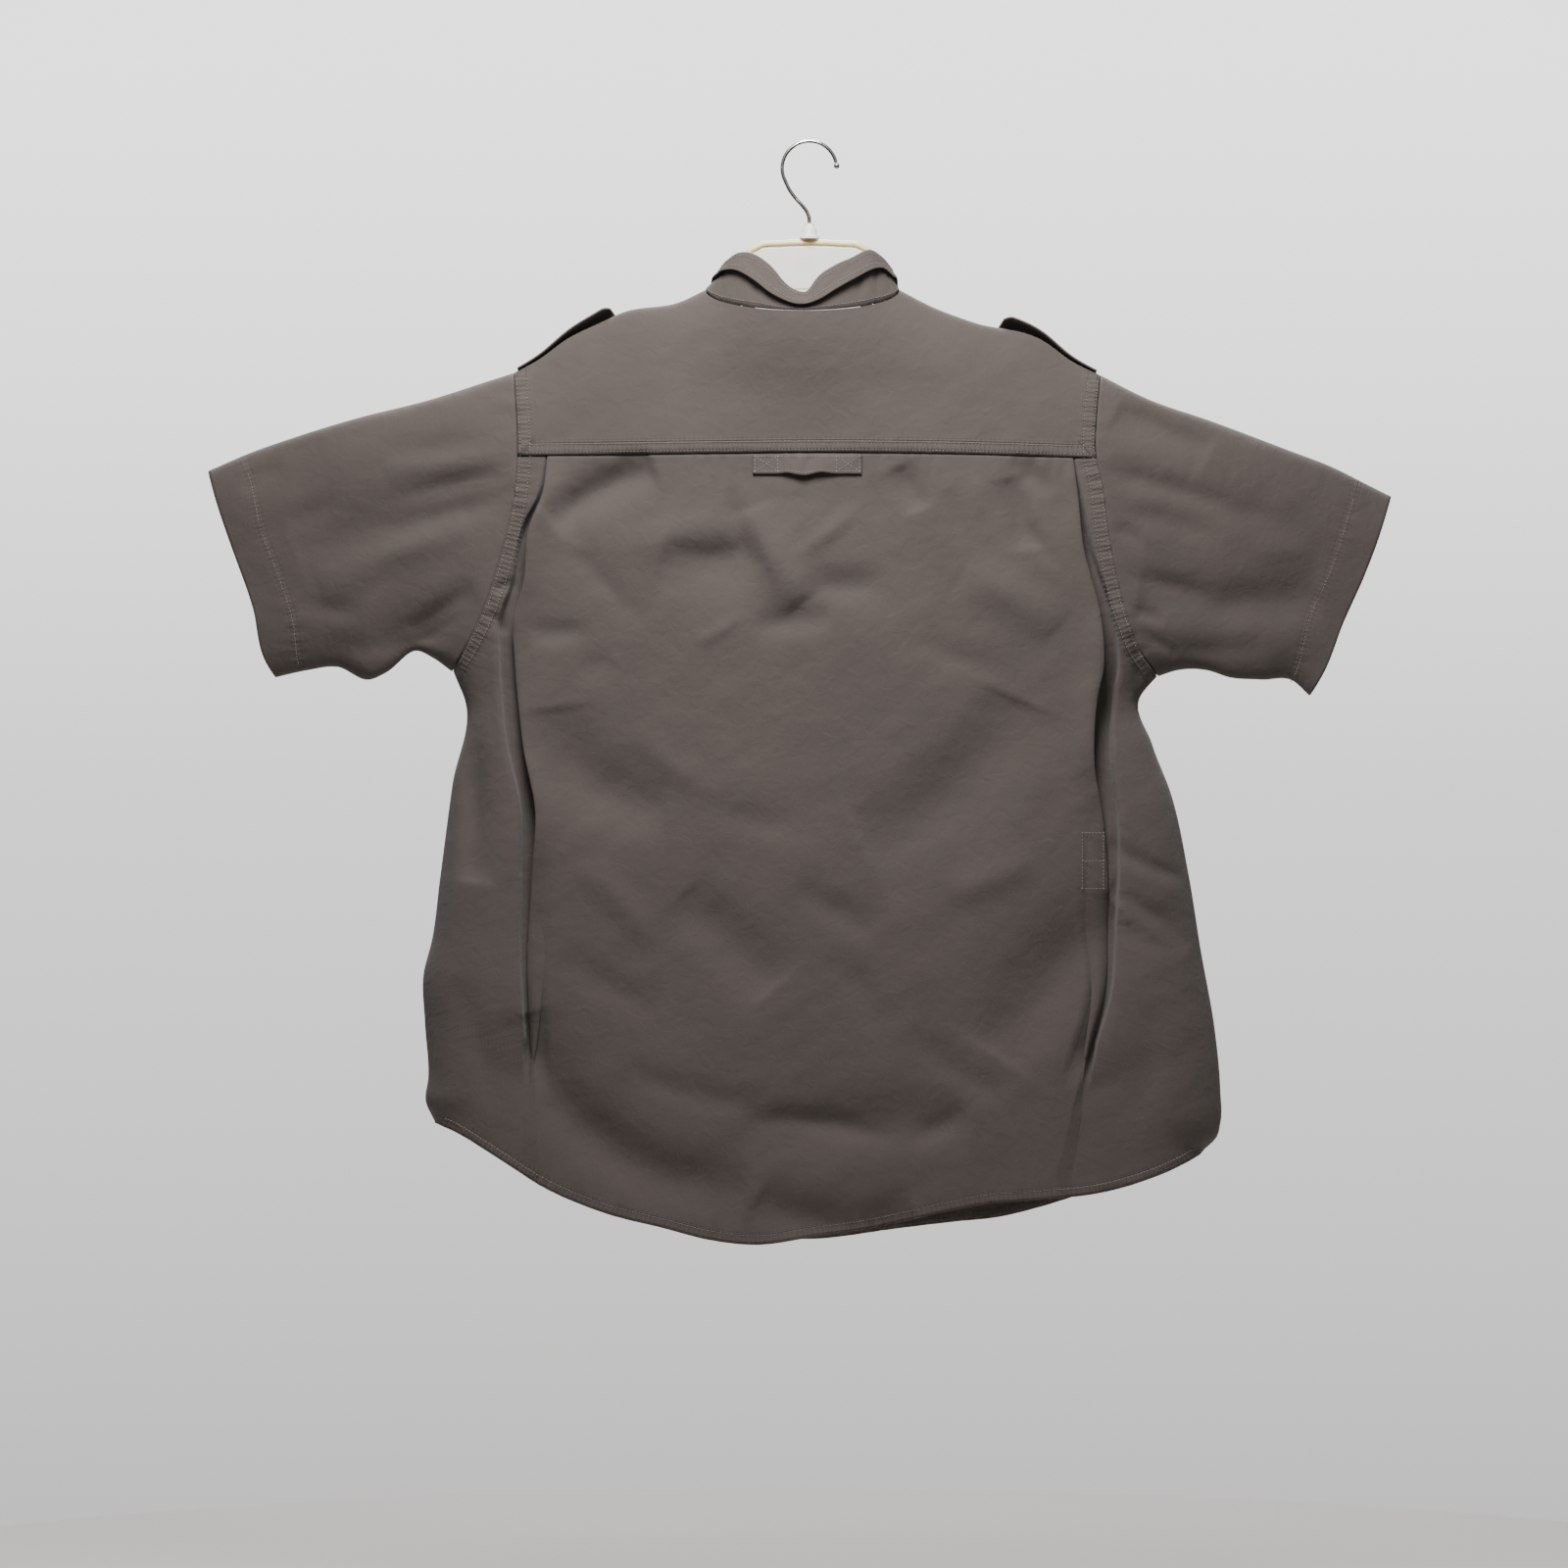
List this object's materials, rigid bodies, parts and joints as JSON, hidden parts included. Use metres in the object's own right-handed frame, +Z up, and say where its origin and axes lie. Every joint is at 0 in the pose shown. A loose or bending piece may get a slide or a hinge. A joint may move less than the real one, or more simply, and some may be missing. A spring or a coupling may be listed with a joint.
{
  "type": "short-sleeved button-down shirt on a clothes hanger",
  "caption": "Short-sleeved twill shirt with yoke, back action pleats, back tab and shoulder straps, hung flat on a plastic hanger by its wire hook.",
  "frame": {"origin": "inside the top of the hanger's hook loop, where a rail carries it", "axes": "+Z up, +X across the shirt towards the wearer's right sleeve, +Y from the shirt's back towards its button front"},
  "size_m": [1.0255, 0.0829, 0.9562],
  "materials": {
    "twill": "washed warm grey-brown cotton twill, matt",
    "buttons": "dark brown polyester, lightly polished",
    "hanger_white": "moulded white, satin",
    "hanger_cream": "yellowed cream moulding, satin",
    "hook_wire": "worn plated steel wire"
  },
  "bodies": {
    "root": {"back_yoke": "twill", "back_panel": "twill", "front_left": "twill", "front_right": "twill", "front_placket": "twill", "sleeve_left": "twill", "sleeve_right": "twill", "collar_stand": "twill", "collar_leaf": "twill", "back_tab": "twill", "epaulette_left": "twill", "epaulette_right": "twill", "front_button_1": "buttons", "front_button_2": "buttons", "front_button_3": "buttons", "front_button_4": "buttons", "front_button_5": "buttons", "front_button_6": "buttons", "collar_button": "buttons", "epaulette_button_left": "buttons", "epaulette_button_right": "buttons", "hanger_web": "hanger_white", "hanger_neck": "hanger_white", "hanger_rim": "hanger_cream", "hanger_hook": "hook_wire", "hook_tip": "hook_wire"}
  },
  "joints": []
}
